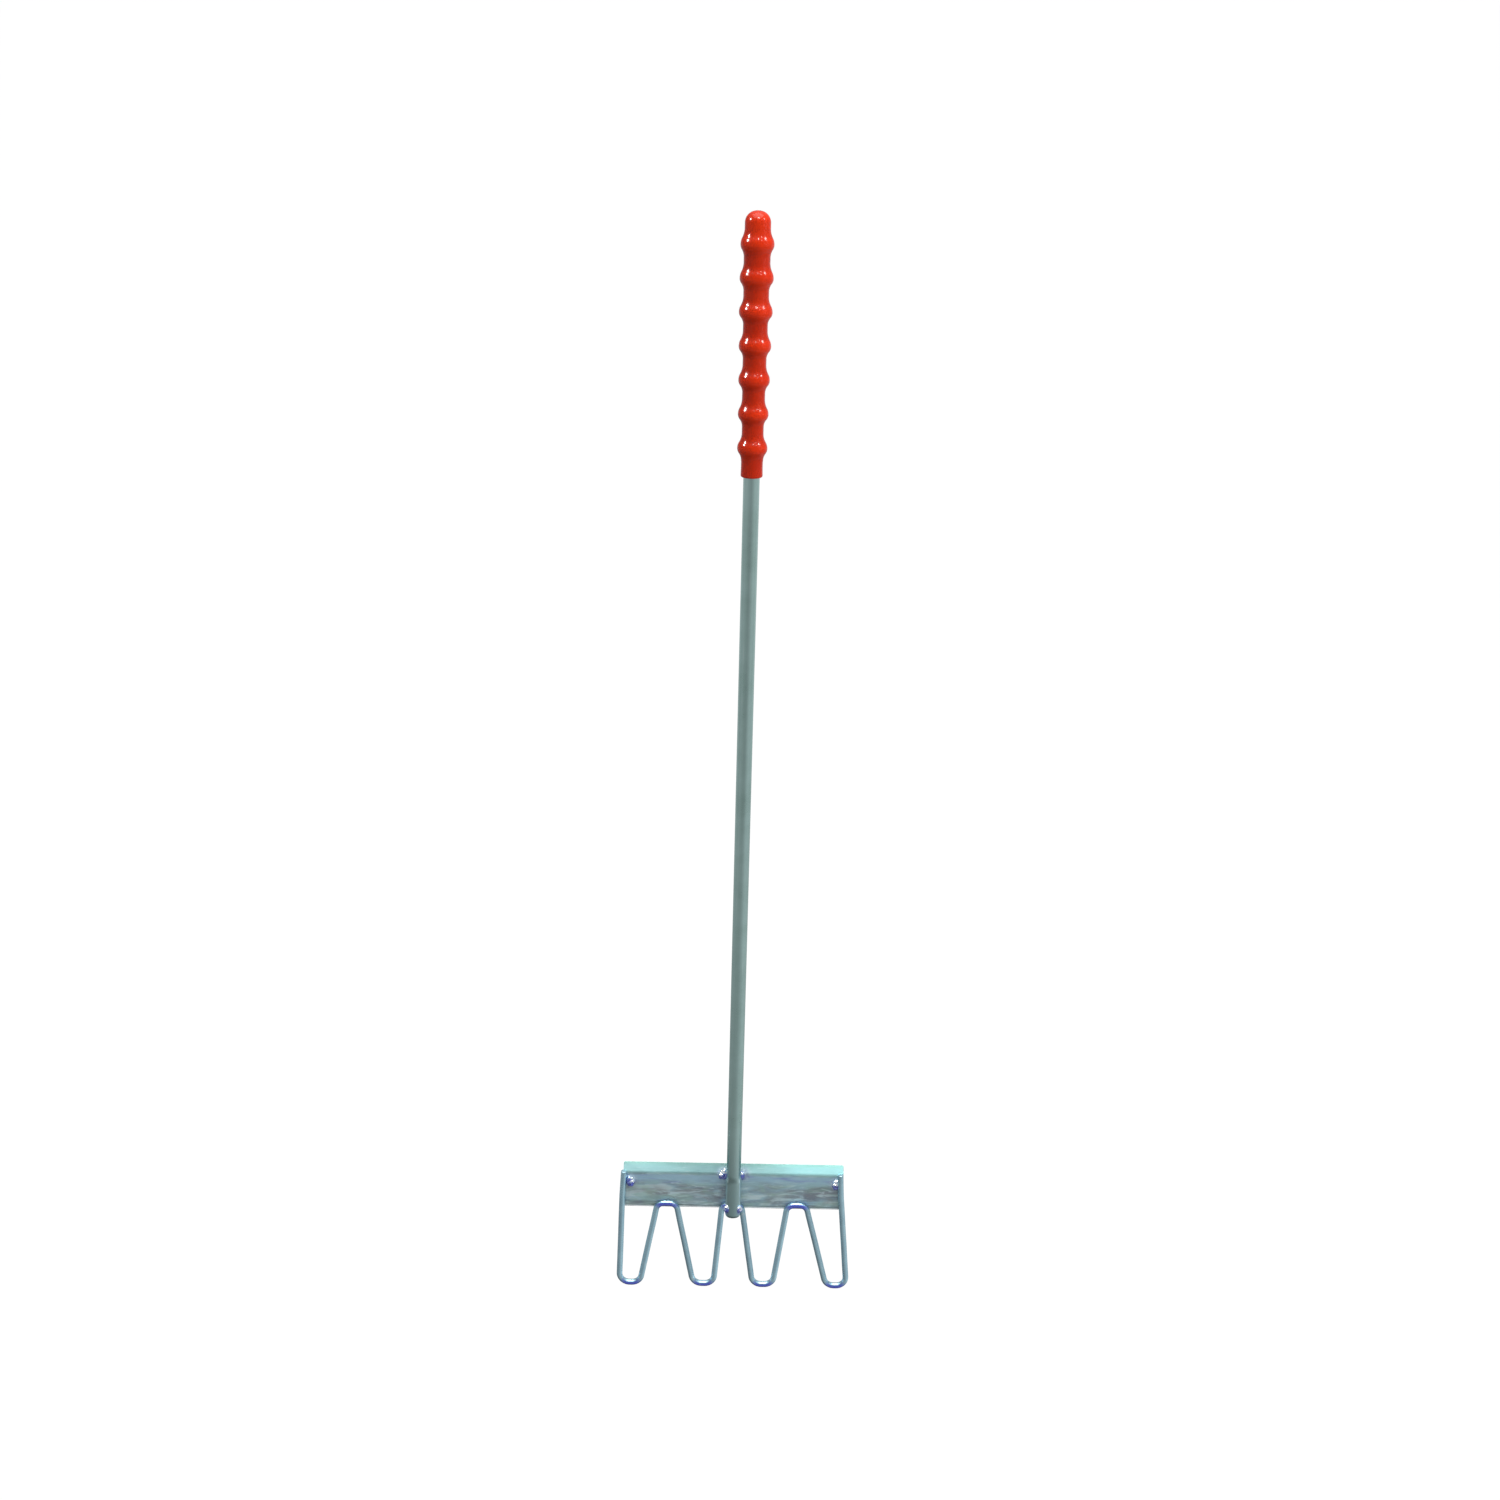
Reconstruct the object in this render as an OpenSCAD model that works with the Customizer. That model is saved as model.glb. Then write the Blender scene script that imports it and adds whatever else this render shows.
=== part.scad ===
// Long-handled hand fork: a steel tube with a ribbed grip, a scraper blade and a bent-wire comb.
// Millimetres. +Z runs up the handle, the tines point down, -Y is the front, the floor is z = 0.

/* [Handle] */
// Outside diameter of the steel tube
tube_d = 12; // [11.6:0.1:12.4]
// Wall thickness of the tube
tube_wall = 1.2; // [0.8:0.1:1.6]
// Width of the tube's pressed lower end
end_w = 12.9; // [12.5:0.1:13.2]
// Thickness of the tube's pressed lower end
end_t = 9.2; // [8.8:0.1:9.4]
// Height of the tube's lowest point
end_z = 71; // [70:0.5:72]

/* [Grip] */
// Height of the grip's lower rim
grip_z = 706; // [690:1:710]
// Height of the top of the grip
grip_top_z = 893; // [892:1:898]
// Radius of the grip's plain sleeve
sleeve_r = 8.1; // [7.6:0.1:8.6]
// Height of the lowest rib
first_rib_z = 727; // [725:0.5:728]

/* [Blade] */
// Width of the blade
blade_w = 186; // [184:1:190]
// Thickness of the blade's sheet
blade_t = 2; // [1.5:0.1:2.2]
// Height of the blade's lower edge
blade_z = 78; // [77:0.5:80]
// Height of the fold
fold_z = 110.5; // [110:0.5:111]
// How far the flange leans back from upright, in degrees
flange_lean = 39.5; // [36:0.5:44]
// Distance from the handle's axis back to the flange's edge
flange_reach = 12; // [11.5:0.5:12.5]

/* [Tines] */
// Diameter of the wire
wire_d = 5; // [4.7:0.1:5.3]
// Radius of the wire's bends, on its centre line
bend_r = 7; // [6.2:0.1:7.4]
// Height of the wire's upper bends, on its centre line
crown_z = 82.2; // [81.6:0.2:82.6]
// Height of the wire's two free ends
wire_end_z = 113.5; // [108:0.5:115]

/* [Hidden] */
$fn = 64;

zinc = [0.56, 0.63, 0.62];
bright_zinc = [0.66, 0.74, 0.76];
red_plastic = [0.78, 0.12, 0.05];
weld_metal = [0.45, 0.46, 0.50];
eps = 0.01;

tube_r = tube_d / 2;
end_r = end_w / 2;
end_corner_r = 4.5;
press_z = 109.7;
round_z = 113.7;
tube_top_z = grip_top_z - 8;

wire_r = wire_d / 2;
bend_swell = 0.02;
foot_z = wire_r + bend_swell;
blade_y = end_t / 2;
wire_y = blade_y - wire_r;
notch_z = crown_z + wire_r + 0.2;
weld_gap = 0.03;

// Where each leg's centre line meets the loops' lower line and the bends' upper line, from the
// outermost leg to the innermost.
foot_x = [97.9, 80.2, 34.3, 16.8];
head_x = [91.3, 63.0, 47.2, 8.2];

// Crest radius of each rib and smallest radius of each waist, from the lowest up.
crest_r = [11.0, 11.1, 11.3, 11.6, 12.0, 12.0, 11.9];
waist_r = [sleeve_r, 7.9, 8.3, 8.5, 8.8, 9.1, 9.4, 9.2];
flank_below = 8.8;
flank_above = 11;

// ---- tube ----

// The tube's outline, drawn in by the given distance to give its bore.
module tube_form(inset) {
  translate([0, 0, round_z])
    cylinder(r = tube_r - inset, h = tube_top_z - round_z + inset);
  intersection() {
    translate([0, 0, press_z])
      cylinder(r1 = end_r - inset, r2 = tube_r - inset, h = round_z - press_z);
    pressed_sides(inset);
  }
  intersection() {
    translate([0, 0, end_z]) rotate_extrude() end_profile(inset);
    translate([-end_w, inset - end_t / 2, end_z - 1])
      cube([2 * end_w, end_t - 2 * inset, press_z - end_z + 1]);
  }
}

// Flat front and back faces that run out into the round tube.
module pressed_sides(inset) {
  low = end_t / 2 - inset;
  high = tube_r + 0.2 - inset;
  translate([-end_w, 0, 0]) rotate([90, 0, 90]) linear_extrude(2 * end_w)
    polygon([[-low, press_z], [low, press_z], [high, round_z], [-high, round_z]]);
}

// Half section of the closed lower end.
module end_profile(inset) {
  corner_x = end_r - end_corner_r;
  translate([0, inset]) square([corner_x, end_corner_r]);
  translate([0, end_corner_r]) square([end_r - inset, press_z - end_z - end_corner_r]);
  intersection() {
    translate([corner_x, end_corner_r]) circle(end_corner_r - inset);
    translate([corner_x, 0]) square(end_corner_r);
  }
}

// Everything behind the front shell at the height of the wire's middle bend.
module wire_notch() {
  translate([-end_w, wire_y - wire_r, end_z - 1])
    cube([2 * end_w, end_t, notch_z - end_z + 1]);
}

module handle_tube() {
  color(zinc) difference() {
    tube_form(0);
    tube_form(tube_wall);
    wire_notch();
  }
}

// ---- grip ----

// The ribs come slightly closer together towards the top.
function rib_z(i) = first_rib_z + 24.75 * i - 0.15 * i * i;

// Points down one flank of a rib: an arc round the crest runs into a hollow arc at the waist.
function flank(crest_z, crest, waist, reach, steps = 4) =
  let (
    drop = crest - waist,
    turn = 2 * atan(drop / abs(reach)),
    radii = abs(reach) / sin(turn),
    crown = radii * 0.4,
    hollow = radii * 0.6,
    side = sign(reach)
  )
  concat(
    [for (k = [1 : steps]) let (a = turn * k / steps)
      [crest - crown * (1 - cos(a)), crest_z + side * crown * sin(a)]],
    [for (k = [1 : steps]) let (a = turn * (1 - k / steps))
      [waist + hollow * (1 - cos(a)), crest_z + reach - side * hollow * sin(a)]]
  );

function reversed(list) = [for (i = [len(list) - 1 : -1 : 0]) list[i]];

function rib(i) = concat(
  reversed(flank(rib_z(i), crest_r[i], waist_r[i], -flank_below)),
  [[crest_r[i], rib_z(i)]],
  flank(rib_z(i), crest_r[i], waist_r[i + 1], flank_above)
);

// Quarter ellipse over the top of the grip.
function dome() = [for (a = [0 : 7.5 : 90]) [waist_r[7] * cos(a), grip_top_z - 8.5 * (1 - sin(a))]];

module grip() {
  outline = concat(
    [[0, grip_z], [sleeve_r - 0.8, grip_z], [sleeve_r, grip_z + 0.8]],
    [for (i = [0 : 6]) each rib(i)],
    dome()
  );
  color(red_plastic) rotate_extrude() difference() {
    polygon(outline);
    translate([-eps, grip_z - 1]) square([tube_r + eps, tube_top_z - grip_z + 1]);
  }
}

// ---- blade ----

// The sheet's section, drawn from the centre of its bend: x is depth, y is height.
module blade_section() {
  bend_in = 2;
  bend_out = bend_in + blade_t;
  setback = bend_out * tan(flange_lean / 2);
  plate_height = fold_z - setback - blade_z;
  slope = (flange_reach - blade_y - blade_t * cos(flange_lean)) / sin(flange_lean);
  translate([blade_y + bend_out, fold_z - setback]) {
    translate([-bend_out, -plate_height]) square([blade_t, plate_height]);
    intersection() {
      difference() {
        circle(bend_out);
        circle(bend_in);
      }
      translate([-9, 0]) square(9);
      rotate(-flange_lean) translate([-9, -9]) square(9);
    }
    rotate(-flange_lean) translate([-bend_out, 0]) square([blade_t, slope - setback]);
  }
}

// The blade's outline from the front: small rounded top corners and nipped lower ones.
module blade_outline() {
  half = blade_w / 2;
  corner = 1.5;
  nip = 0.8;
  flange_top = fold_z
    + (flange_reach - blade_y - blade_t * cos(flange_lean)) / tan(flange_lean);
  right = concat(
    [[half - nip, blade_z - 0.2], [half, blade_z + nip]],
    [for (a = [0 : 15 : 90])
      [half - corner * (1 - cos(a)), flange_top - corner * (1 - sin(a))]],
    [[half - corner, flange_top + 5]]
  );
  polygon(concat(right, [for (p = reversed(right)) [-p[0], p[1]]]));
}

module blade() {
  color(bright_zinc) intersection() {
    translate([-blade_w / 2 - 1, 0, 0]) rotate([90, 0, 90])
      linear_extrude(blade_w + 2) blade_section();
    translate([0, 20, 0]) rotate([90, 0, 0]) linear_extrude(40) blade_outline();
  }
}

// ---- wire ----

// A round wire along straight runs joined by bends of one radius, drawn flat in X and Y.
// The bends are a hair thicker than the runs, and each run reaches a little way into its bends.
module bent_wire(points, r, bend) {
  last = len(points) - 1;
  heading = [for (i = [0 : last - 1])
    atan2(points[i + 1][1] - points[i][1], points[i + 1][0] - points[i][0])];
  turn = [for (i = [0 : last])
    i == 0 || i == last ? 0 : (heading[i] - heading[i - 1] + 540) % 360 - 180];
  setback = [for (i = [0 : last]) bend * tan(abs(turn[i]) / 2)];
  reach = [for (i = [0 : last]) i == 0 || i == last ? 0 : 0.3];
  for (i = [0 : last - 1])
    translate(points[i]) rotate(heading[i]) translate([setback[i] - reach[i], 0, 0])
      rotate([0, 90, 0]) cylinder(r = r, h = norm(points[i + 1] - points[i])
        - setback[i] - setback[i + 1] + reach[i] + reach[i + 1]);
  for (i = [1 : last - 1])
    translate(points[i]) rotate(heading[i - 1]) translate([-setback[i], 0, 0])
      bend_piece(turn[i], r + bend_swell, bend);
}

// A bend that starts at the origin heading along +X.
module bend_piece(turn, r, bend) {
  side = sign(turn);
  translate([0, side * bend, 0]) rotate(side > 0 ? -90 : 90 + turn)
    rotate_extrude(angle = abs(turn)) translate([bend, 0]) circle(r);
}

// Corner points of the right half of the comb, from its free end to its middle.
right_half = [
  [head_x[0], wire_end_z], [foot_x[0], foot_z],
  [foot_x[1], foot_z], [head_x[1], crown_z],
  [head_x[2], crown_z], [foot_x[2], foot_z],
  [foot_x[3], foot_z], [head_x[3], crown_z]
];

function mirrored(list) = [for (p = reversed(list)) [-p[0], p[1]]];

// Stands a flat wire upright in its place against the blade.
module upright() {
  translate([0, wire_y, 0]) rotate([90, 0, 0]) children();
}

module tine_wire() {
  color(bright_zinc) upright()
    bent_wire(concat(right_half, mirrored(right_half)), wire_r, bend_r);
}

// ---- welds ----

// Three overlapping drops of weld metal in a column.
module drops(at, r, rise) {
  for (step = [-1, 0, 1])
    translate([at[0], at[1], at[2] + step * rise]) sphere(r * (1 - 0.12 * abs(step)));
}

// The blade and all that lies behind it, so that a weld keeps to the front.
module blade_and_behind() {
  middle = blade_y + blade_t / 2;
  blade();
  translate([-blade_w / 2, 0, 0]) rotate([90, 0, 90]) linear_extrude(blade_w)
    polygon([
      [middle, blade_z - 3], [middle, fold_z], [flange_reach, fold_z + 9],
      [flange_reach + 9, fold_z + 9], [flange_reach + 9, blade_z - 3]
    ]);
}

module tube_weld_upper(side, r) {
  color(weld_metal) difference() {
    drops([side * (tube_r + 1.6), blade_y - 0.9, fold_z + 0.6], r, r * 0.6);
    tube_form(0);
    blade_and_behind();
  }
}

module tube_weld_lower(side) {
  arch = [right_half[6], right_half[7]];
  color(weld_metal) difference() {
    drops([side * (end_r + 0.2), wire_y - wire_r - 0.9, crown_z - 1.3], 2.4, 1.6);
    tube_form(0);
    upright() bent_wire(concat(arch, mirrored(arch)), wire_r + weld_gap, bend_r);
  }
}

module wire_end_weld(side) {
  leg = [[side * head_x[0], wire_end_z], [side * foot_x[0], foot_z]];
  color(weld_metal) difference() {
    drops([side * (head_x[0] - 3.5), blade_y - 0.9, wire_end_z - 11], 2.8, 0.9);
    blade_and_behind();
    upright() bent_wire(leg, wire_r + weld_gap, bend_r);
  }
}

module tube_weld_upper_left() {
  tube_weld_upper(-1, 3.6);
}

module tube_weld_upper_right() {
  tube_weld_upper(1, 2.9);
}

module tube_weld_lower_left() {
  tube_weld_lower(-1);
}

module tube_weld_lower_right() {
  tube_weld_lower(1);
}

module wire_end_weld_left() {
  wire_end_weld(-1);
}

module wire_end_weld_right() {
  wire_end_weld(1);
}

handle_tube();
grip();
blade();
tine_wire();
tube_weld_upper_left();
tube_weld_upper_right();
tube_weld_lower_left();
tube_weld_lower_right();
wire_end_weld_left();
wire_end_weld_right();
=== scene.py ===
import math

import bmesh
import bpy
from mathutils import Matrix, Vector, noise


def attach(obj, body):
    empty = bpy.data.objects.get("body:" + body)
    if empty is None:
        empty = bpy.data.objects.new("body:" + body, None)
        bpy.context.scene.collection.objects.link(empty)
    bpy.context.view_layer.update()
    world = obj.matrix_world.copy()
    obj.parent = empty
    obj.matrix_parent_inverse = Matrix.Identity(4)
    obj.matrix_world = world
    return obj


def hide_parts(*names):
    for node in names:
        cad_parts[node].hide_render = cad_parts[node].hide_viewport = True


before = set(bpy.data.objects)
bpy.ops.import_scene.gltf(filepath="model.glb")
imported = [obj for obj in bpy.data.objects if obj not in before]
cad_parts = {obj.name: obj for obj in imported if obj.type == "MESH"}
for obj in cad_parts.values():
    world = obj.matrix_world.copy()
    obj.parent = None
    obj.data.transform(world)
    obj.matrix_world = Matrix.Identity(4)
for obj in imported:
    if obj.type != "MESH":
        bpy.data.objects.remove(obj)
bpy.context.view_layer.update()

# A long-handled hand fork: tube, grip, folded blade, bent wire comb and six weld beads.
# +Z runs up the handle and -Y is the front. The origin is on the tube's axis, level with the
# bottom of the loops. Shapes are worked out in millimetres, and make_object turns them to metres.

MM = 0.001
scene = bpy.context.scene
scene.view_settings.view_transform = "Standard"

# ---------------------------------------------------------------- sizes, in millimetres

TUBE_R = 6.0
TUBE_WALL = 1.2
END_HALF_W = 6.45            # half width of the pressed end
END_HALF_T = 4.6             # half thickness of the pressed end
END_CORNER = 4.5             # radius of the pressed end's nose
END_Z = 71.0
PRESS_Z = 105.5              # fully pressed below this height
ROUND_Z = 115.0              # fully round above this height

GRIP_Z = 706.0
GRIP_TOP = 893.0
TUBE_TOP = GRIP_TOP - 8.0    # out of sight inside the grip
BORE_TOP = GRIP_TOP - 40.0   # the tube is closed above this
SLEEVE_R = 8.1               # radius of the grip below its first rib
FIRST_RIB_Z = 727.0
CREST_R = [11.0, 11.1, 11.3, 11.6, 12.0, 12.0, 11.9]
WAIST_R = [SLEEVE_R, 7.9, 8.3, 8.5, 8.8, 9.1, 9.4, 9.2]
FLANK_BELOW = 8.8            # from a crest down to the waist below it
FLANK_ABOVE = 11.0           # from a crest up to the waist above it

BLADE_HALF_W = 93.0
BLADE_T = 2.0
BLADE_Z = 77.5               # lower edge
FOLD_Z = 110.5               # where the plate and the flange would meet without a bend
LEAN = math.radians(39.5)    # the flange, from upright
FLANGE_REACH = 12.0          # depth of the flange's far edge behind the tube's axis
BLADE_Y = END_HALF_T         # the plate's front face
BEND_OUT = 2.6 + BLADE_T     # radius of the fold on the sheet's front face

WIRE_R = 2.5
WIRE_Y = BLADE_Y - WIRE_R
FOOT_BEND = 8.4
CROWN_BEND = 7.0
CROWN_Z = 82.7               # the wire's centre line at its upper bends
WIRE_END_Z = 113.5
FOOT_X = [97.9, 80.2, 34.3, 16.8]
HEAD_X = [91.3, 63.0, 47.2, 8.2]
COMB_SWAY = 0.031            # the loops hang a little to the right of true


# ---------------------------------------------------------------- mesh helpers

def lerp(a, b, t):
    return a + (b - a) * t


def smooth(t):
    t = min(max(t, 0.0), 1.0)
    return t * t * (3 - 2 * t)


def wave(x, y, z, size):
    """Smooth noise from -1 to 1 whose lumps are about size millimetres across."""
    return noise.noise(Vector((x / size, y / size, z / size)))


def make_object(name, points, faces):
    """A smooth-shaded mesh object from points in millimetres."""
    mesh = bpy.data.meshes.new(name)
    mesh.from_pydata([(p[0] * MM, p[1] * MM, p[2] * MM) for p in points], [], faces)
    mesh.validate()
    obj = bpy.data.objects.new(name, mesh)
    scene.collection.objects.link(obj)
    tidy_normals(obj)
    return obj


def tidy_normals(obj):
    """Turns every face outward and shades them smooth."""
    bm = bmesh.new()
    bm.from_mesh(obj.data)
    bmesh.ops.recalc_face_normals(bm, faces=bm.faces)
    bm.to_mesh(obj.data)
    bm.free()
    for polygon in obj.data.polygons:
        polygon.use_smooth = True


def loft(name, rings, cap_start=True, cap_end=True):
    """Joins rings of equal length, each a closed loop of points, into one skin."""
    count = len(rings[0])
    points = [p for ring in rings for p in ring]
    faces = []
    for i in range(len(rings) - 1):
        a, b = i * count, (i + 1) * count
        for j in range(count):
            k = (j + 1) % count
            faces.append((a + j, a + k, b + k, b + j))
    if cap_start:
        faces.append(tuple(range(count)))
    if cap_end:
        last = (len(rings) - 1) * count
        faces.append(tuple(last + j for j in range(count)))
    return make_object(name, points, faces)


def apply_modifiers(obj):
    """Replaces the mesh with its evaluated result."""
    bpy.context.view_layer.update()
    graph = bpy.context.evaluated_depsgraph_get()
    mesh = bpy.data.meshes.new_from_object(obj.evaluated_get(graph))
    obj.modifiers.clear()
    obj.data = mesh


def cut(obj, tool):
    """Takes the tool's space out of obj and removes the tool."""
    modifier = obj.modifiers.new("cut", "BOOLEAN")
    modifier.operation = "DIFFERENCE"
    modifier.solver = "EXACT"
    modifier.object = tool
    apply_modifiers(obj)
    bpy.data.objects.remove(tool)


def round_edges(obj, width, angle, segments):
    """Rounds every edge sharper than angle degrees, width millimetres to each side."""
    modifier = obj.modifiers.new("round", "BEVEL")
    modifier.width = width * MM
    modifier.segments = segments
    modifier.limit_method = "ANGLE"
    modifier.angle_limit = math.radians(angle)
    modifier.harden_normals = False
    apply_modifiers(obj)
    for polygon in obj.data.polygons:
        polygon.use_smooth = True


def box_tool(name, low, high):
    """A block between two corners, for cutting."""
    x0, y0, z0 = low
    x1, y1, z1 = high
    points = [(x, y, z) for z in (z0, z1) for y in (y0, y1) for x in (x0, x1)]
    faces = [(0, 2, 3, 1), (4, 5, 7, 6), (0, 1, 5, 4), (2, 6, 7, 3), (0, 4, 6, 2), (1, 3, 7, 5)]
    return make_object(name, points, faces)


# ---------------------------------------------------------------- tube

def tube_ring(half_x, half_y, z, count=72):
    """An oval round the tube's axis."""
    angles = [2 * math.pi * j / count for j in range(count)]
    return [(half_x * math.cos(a), half_y * math.sin(a), z) for a in angles]


def tube_skin(name, inset, top):
    """The tube's outline, drawn in by inset: round above, pressed and closed at the lower end."""
    rings = []
    steps = 14
    for i in range(steps + 1):
        a = math.pi / 2 * i / steps
        shrink = END_CORNER * (1 - math.sin(a)) + inset * math.sin(a)
        z = END_Z + END_CORNER * (1 - math.cos(a)) + inset * math.cos(a)
        if i == 0:
            shrink = min(shrink, END_HALF_T - 0.15)
        rings.append(tube_ring(END_HALF_W - shrink, END_HALF_T - shrink, z))
    z = END_Z + END_CORNER + 1.0
    while z < ROUND_Z + 6:
        t = smooth((z - PRESS_Z) / (ROUND_Z - PRESS_Z))
        shoulder = 0.4 * math.exp(-((z - 108.5) / 2.4) ** 2)
        half_x = lerp(END_HALF_W, TUBE_R, t) + shoulder - inset
        half_y = lerp(END_HALF_T, TUBE_R, t) - inset
        rings.append(tube_ring(half_x, half_y, z))
        z += 0.5
    while z < top:
        rings.append(tube_ring(TUBE_R - inset, TUBE_R - inset, z))
        z += 12
    rings.append(tube_ring(TUBE_R - inset, TUBE_R - inset, top))
    return loft(name, rings)


def build_tube():
    tube = tube_skin("pressed_tube", 0.0, TUBE_TOP)
    cut(tube, tube_skin("bore", TUBE_WALL, BORE_TOP))
    notch_y = WIRE_Y - WIRE_R
    low = (-20, notch_y, END_Z - 5)
    high = (20, notch_y + 20, CROWN_Z + WIRE_R + 0.2)
    cut(tube, box_tool("notch", low, high))
    round_edges(tube, 0.22, 50, 2)
    return tube


# ---------------------------------------------------------------- grip

def rib_z(i):
    return FIRST_RIB_Z + 24.75 * i - 0.15 * i * i


def flank(crest_z, crest, waist, reach, steps=14):
    """Points from just past a rib's crest out to its waist."""
    drop = crest - waist
    turn = 2 * math.atan(drop / abs(reach))
    radii = abs(reach) / math.sin(turn)
    crown, hollow = radii * 0.4, radii * 0.6
    side = math.copysign(1, reach)
    out = []
    for k in range(1, steps + 1):
        a = turn * k / steps
        out.append((crest - crown * (1 - math.cos(a)), crest_z + side * crown * math.sin(a)))
    for k in range(1, steps + 1):
        a = turn * (1 - k / steps)
        out.append((waist + hollow * (1 - math.cos(a)), crest_z + reach - side * hollow * math.sin(a)))
    return out


def grip_profile():
    """Radius and height along the grip's skin: down its bore, round the lip and up the outside."""
    bore_r = TUBE_R + 0.1
    points = [(bore_r, TUBE_TOP + 0.1), (bore_r, GRIP_Z + 0.8)]
    points += [(bore_r + 0.1, GRIP_Z + 0.4), (bore_r + 0.5, GRIP_Z + 0.1)]
    for k in range(9):
        a = math.pi / 2 * k / 8
        points.append((SLEEVE_R - 1.2 + 1.2 * math.sin(a), GRIP_Z + 1.2 * (1 - math.cos(a))))
    for k in range(1, 11):
        points.append((SLEEVE_R - 0.15 * smooth(k / 6), GRIP_Z + 1.2 + k * 0.98))
    for i in range(7):
        points += reversed(flank(rib_z(i), CREST_R[i], WAIST_R[i], -FLANK_BELOW))
        points.append((CREST_R[i], rib_z(i)))
        points += flank(rib_z(i), CREST_R[i], WAIST_R[i + 1], FLANK_ABOVE)
    top_r = WAIST_R[7]
    for k in range(1, 25):
        a = math.pi / 2 * k / 24
        points.append((top_r * math.cos(a) ** 0.9, GRIP_TOP - 8.5 * (1 - math.sin(a))))
    return points


def build_grip():
    count = 128
    rings = []
    for r, z in grip_profile()[:-1]:
        ring = []
        for j in range(count):
            a = 2 * math.pi * j / count
            x, y = r * math.cos(a), r * math.sin(a)
            lump = 1 + 0.010 * wave(x, y, z + 40, 14) + 0.004 * wave(x, y, z, 5)
            ring.append((x * lump, y * lump, z))
        rings.append(ring)
    return loft("ribbed_grip", rings)


# ---------------------------------------------------------------- blade

def blade_front(v):
    """Depth, height and the direction of the front face's normal at developed height v."""
    start = FOLD_Z - BEND_OUT * math.tan(LEAN / 2) - BLADE_Z
    arc = BEND_OUT * LEAN
    if v <= start:
        return BLADE_Y, BLADE_Z + v, 0.0
    if v <= start + arc:
        a = (v - start) / BEND_OUT
        return (BLADE_Y + BEND_OUT * (1 - math.cos(a)), BLADE_Z + start + BEND_OUT * math.sin(a), a)
    rest = v - start - arc
    y = BLADE_Y + BEND_OUT * (1 - math.cos(LEAN)) + rest * math.sin(LEAN)
    z = BLADE_Z + start + BEND_OUT * math.sin(LEAN) + rest * math.cos(LEAN)
    return y, z, LEAN


def blade_length():
    setback = BEND_OUT * math.tan(LEAN / 2)
    slope = (FLANGE_REACH - BLADE_Y - BLADE_T * math.cos(LEAN)) / math.sin(LEAN)
    return FOLD_Z - setback - BLADE_Z + BEND_OUT * LEAN + slope - setback


def corner_inset(v, length):
    """How far the end of the sheet is drawn in at height v, for its rounded corners."""
    low, high = 0.9, 1.4
    if v < low:
        return low - math.sqrt(max(low * low - (low - v) ** 2, 0))
    if v > length - high:
        return high - math.sqrt(max(high * high - (v - length + high) ** 2, 0))
    return 0.0


def build_blade():
    length = blade_length()
    rows = [0.0, 0.15, 0.4, 0.7, 1.0, 1.3, 1.7]
    rows += [1.7 + (length - 5.2) * k / 58 for k in range(1, 59)]
    rows += [length - 3.5 + 3.5 * math.sin(math.pi / 2 * k / 9) for k in range(1, 10)]
    columns = 200
    front, back = [], []
    for v in rows:
        inset = corner_inset(v, length)
        y, z, lean = blade_front(v)
        for j in range(columns + 1):
            u = 2 * j / columns - 1
            x = u * (BLADE_HALF_W - inset)
            ripple = 0.16 * wave(x, 3, z, 30) + 0.05 * wave(x, 9, z, 11)
            ripple *= smooth(v / 3) * smooth((length - v) / 3)
            lip = 0.36 * math.exp(-((v - 0.6) / 0.5) ** 2)
            out = ripple + lip
            ny, nz = -math.cos(lean), math.sin(lean)
            front.append((x, y + ny * out, z + nz * out))
            thick = BLADE_T - ripple
            back.append((x, y - ny * thick, z - nz * thick))
    n = columns + 1
    total = len(front)
    faces = []
    for i in range(len(rows) - 1):
        for j in range(columns):
            a = i * n + j
            faces.append((a, a + 1, a + n + 1, a + n))
            faces.append((total + a, total + a + n, total + a + n + 1, total + a + 1))
    border = list(range(columns))
    border += [i * n + columns for i in range(len(rows) - 1)]
    border += [(len(rows) - 1) * n + j for j in range(columns, 0, -1)]
    border += [i * n for i in range(len(rows) - 1, 0, -1)]
    for a, b in zip(border, border[1:] + border[:1]):
        faces.append((a, total + a, total + b, b))
    blade = make_object("folded_blade", front + back, faces)
    round_edges(blade, 0.45, 60, 3)
    return blade


# ---------------------------------------------------------------- wire

def comb_corners():
    right = [
        (HEAD_X[0], WIRE_END_Z), (FOOT_X[0], WIRE_R), (FOOT_X[1], WIRE_R), (HEAD_X[1], CROWN_Z),
        (HEAD_X[2], CROWN_Z), (FOOT_X[2], WIRE_R), (FOOT_X[3], WIRE_R), (HEAD_X[3], CROWN_Z),
    ]
    return right + [(-x, z) for x, z in reversed(right)]


def swayed(x, z):
    """Moves a point of the comb sideways: feet to the right, and the part above them to the left."""
    return x + COMB_SWAY * (54 - min(z, CROWN_Z + 8))


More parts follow.
